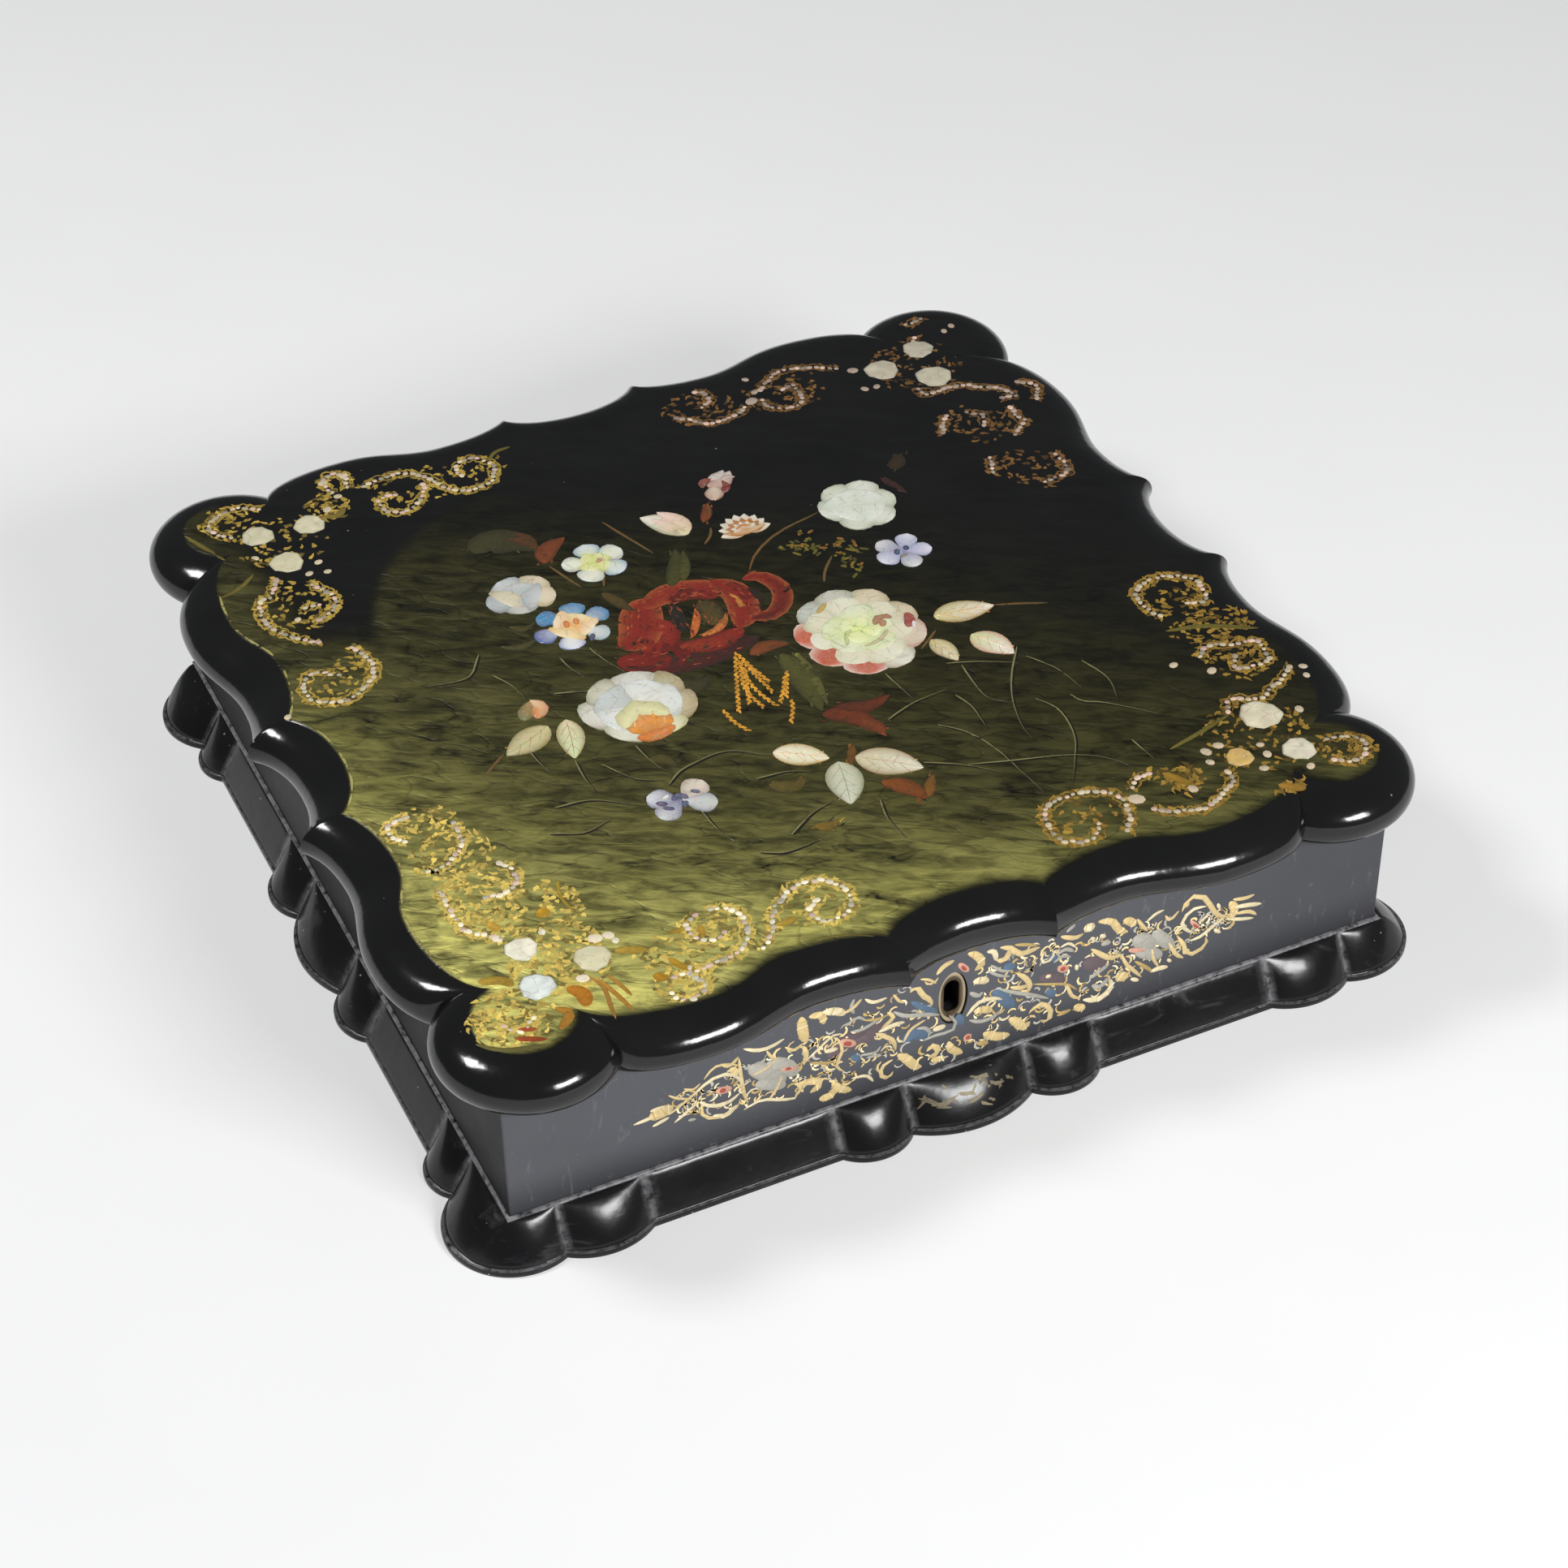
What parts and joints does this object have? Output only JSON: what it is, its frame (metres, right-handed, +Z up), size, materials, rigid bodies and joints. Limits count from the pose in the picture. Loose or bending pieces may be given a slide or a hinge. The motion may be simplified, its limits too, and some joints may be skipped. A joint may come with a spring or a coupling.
{
  "type": "papier-mache sewing box",
  "caption": "Square black lacquered papier-mache sewing box with scalloped lift-off lid, lobed plinth, keyhole plate and mother-of-pearl flower inlay.",
  "frame": {"origin": "centre of the underside of the plinth, on the surface the box stands on", "axes": "+Z up through the lid, front wall with the keyhole facing -Y, +X to the right seen from the front"},
  "size_m": [0.3342, 0.3296, 0.079],
  "materials": {
    "gloss_lacquer": "black gloss lacquer over pasteboard",
    "satin_lacquer": "black satin lacquer over pasteboard",
    "brass": "aged brass",
    "pearl": "polished mother-of-pearl, partly overpainted"
  },
  "bodies": {
    "root": {"plinth": "gloss_lacquer", "walls": "satin_lacquer", "keyhole_plate": "brass", "lid": "gloss_lacquer", "pearl_front_left_1": "pearl", "pearl_front_left_2": "pearl", "pearl_front_left_3": "pearl", "pearl_back_left_1": "pearl", "pearl_back_left_2": "pearl", "pearl_back_left_3": "pearl", "pearl_back_right_1": "pearl", "pearl_back_right_2": "pearl", "pearl_back_right_3": "pearl", "pearl_front_right_1": "pearl", "pearl_front_right_2": "pearl", "pearl_front_right_3": "pearl", "pearl_rose_right": "pearl", "pearl_rose_left": "pearl", "pearl_blue_flower": "pearl", "pearl_grey_flower": "pearl", "pearl_cream_flower": "pearl", "pearl_pink_bud": "pearl", "pearl_orange_bud": "pearl", "pearl_dusky_bud": "pearl", "pearl_white_rose": "pearl", "pearl_star_flower": "pearl", "pearl_bud_left": "pearl", "pearl_butterfly_flower": "pearl", "pearl_leaf_right_upper": "pearl", "pearl_leaf_right_middle": "pearl", "pearl_leaf_right_lower": "pearl", "pearl_leaf_left_outer": "pearl", "pearl_leaf_left_inner": "pearl", "pearl_leaf_low_cream": "pearl", "pearl_leaf_low_left": "pearl", "pearl_leaf_low_right": "pearl"}
  },
  "joints": []
}
